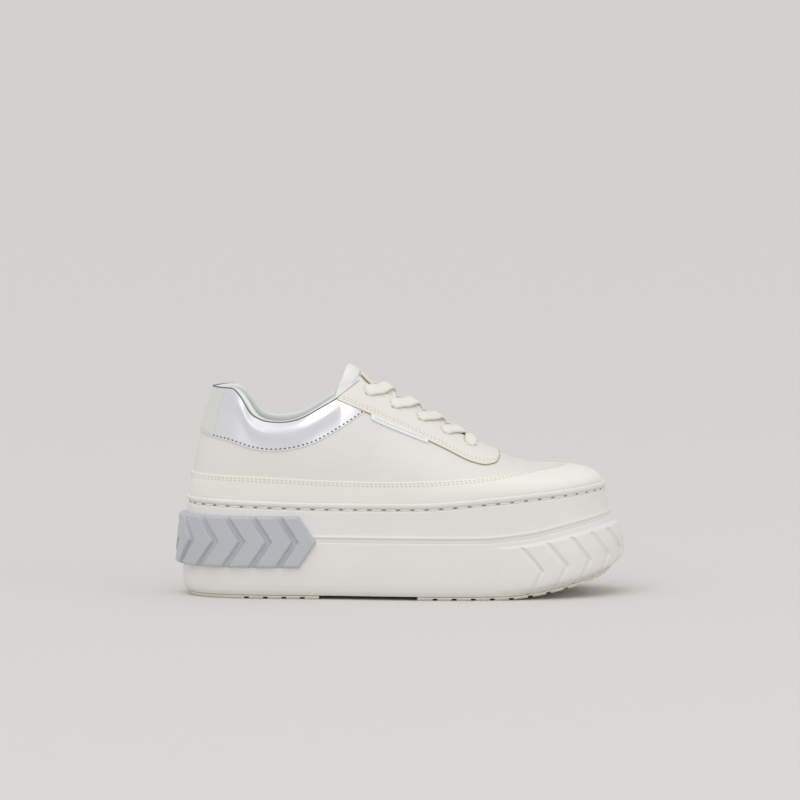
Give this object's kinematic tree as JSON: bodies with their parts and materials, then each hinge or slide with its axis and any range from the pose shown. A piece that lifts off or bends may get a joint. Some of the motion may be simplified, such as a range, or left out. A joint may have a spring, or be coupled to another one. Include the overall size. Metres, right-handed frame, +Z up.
{
  "type": "platform sneaker",
  "caption": "Low lace-up sneaker for the right foot on a thick cup sole, with a hollow upper, padded tongue, lace facing, grey heel wrap and moulded toe bumper",
  "frame": {"origin": "on the floor, under the middle of the shoe's box", "axes": "+X to the toe, -Y to the outer side of the right foot, +Z up"},
  "size_m": [0.2846, 0.1068, 0.146],
  "materials": {
    "sole_white": "satin moulded",
    "tread_cream": "matt moulded",
    "wrap_grey": "satin moulded",
    "upper_leather": "smooth coated leather",
    "facing_cream": "smooth coated leather",
    "tongue_fabric": "soft padded",
    "insole_fabric": "fine woven",
    "lace_cream": "flat braided"
  },
  "bodies": {
    "root": {"sole": "sole_white", "outsole_heel": "tread_cream", "outsole_forefoot": "tread_cream", "heel_bumper": "wrap_grey", "upper": "upper_leather", "eyestay": "facing_cream", "tongue": "tongue_fabric", "insole": "insole_fabric", "lace_cross_1": "lace_cream", "lace_cross_2": "lace_cream", "lace_cross_3": "lace_cream", "lace_cross_4": "lace_cream", "lace_bar": "lace_cream"}
  },
  "joints": []
}
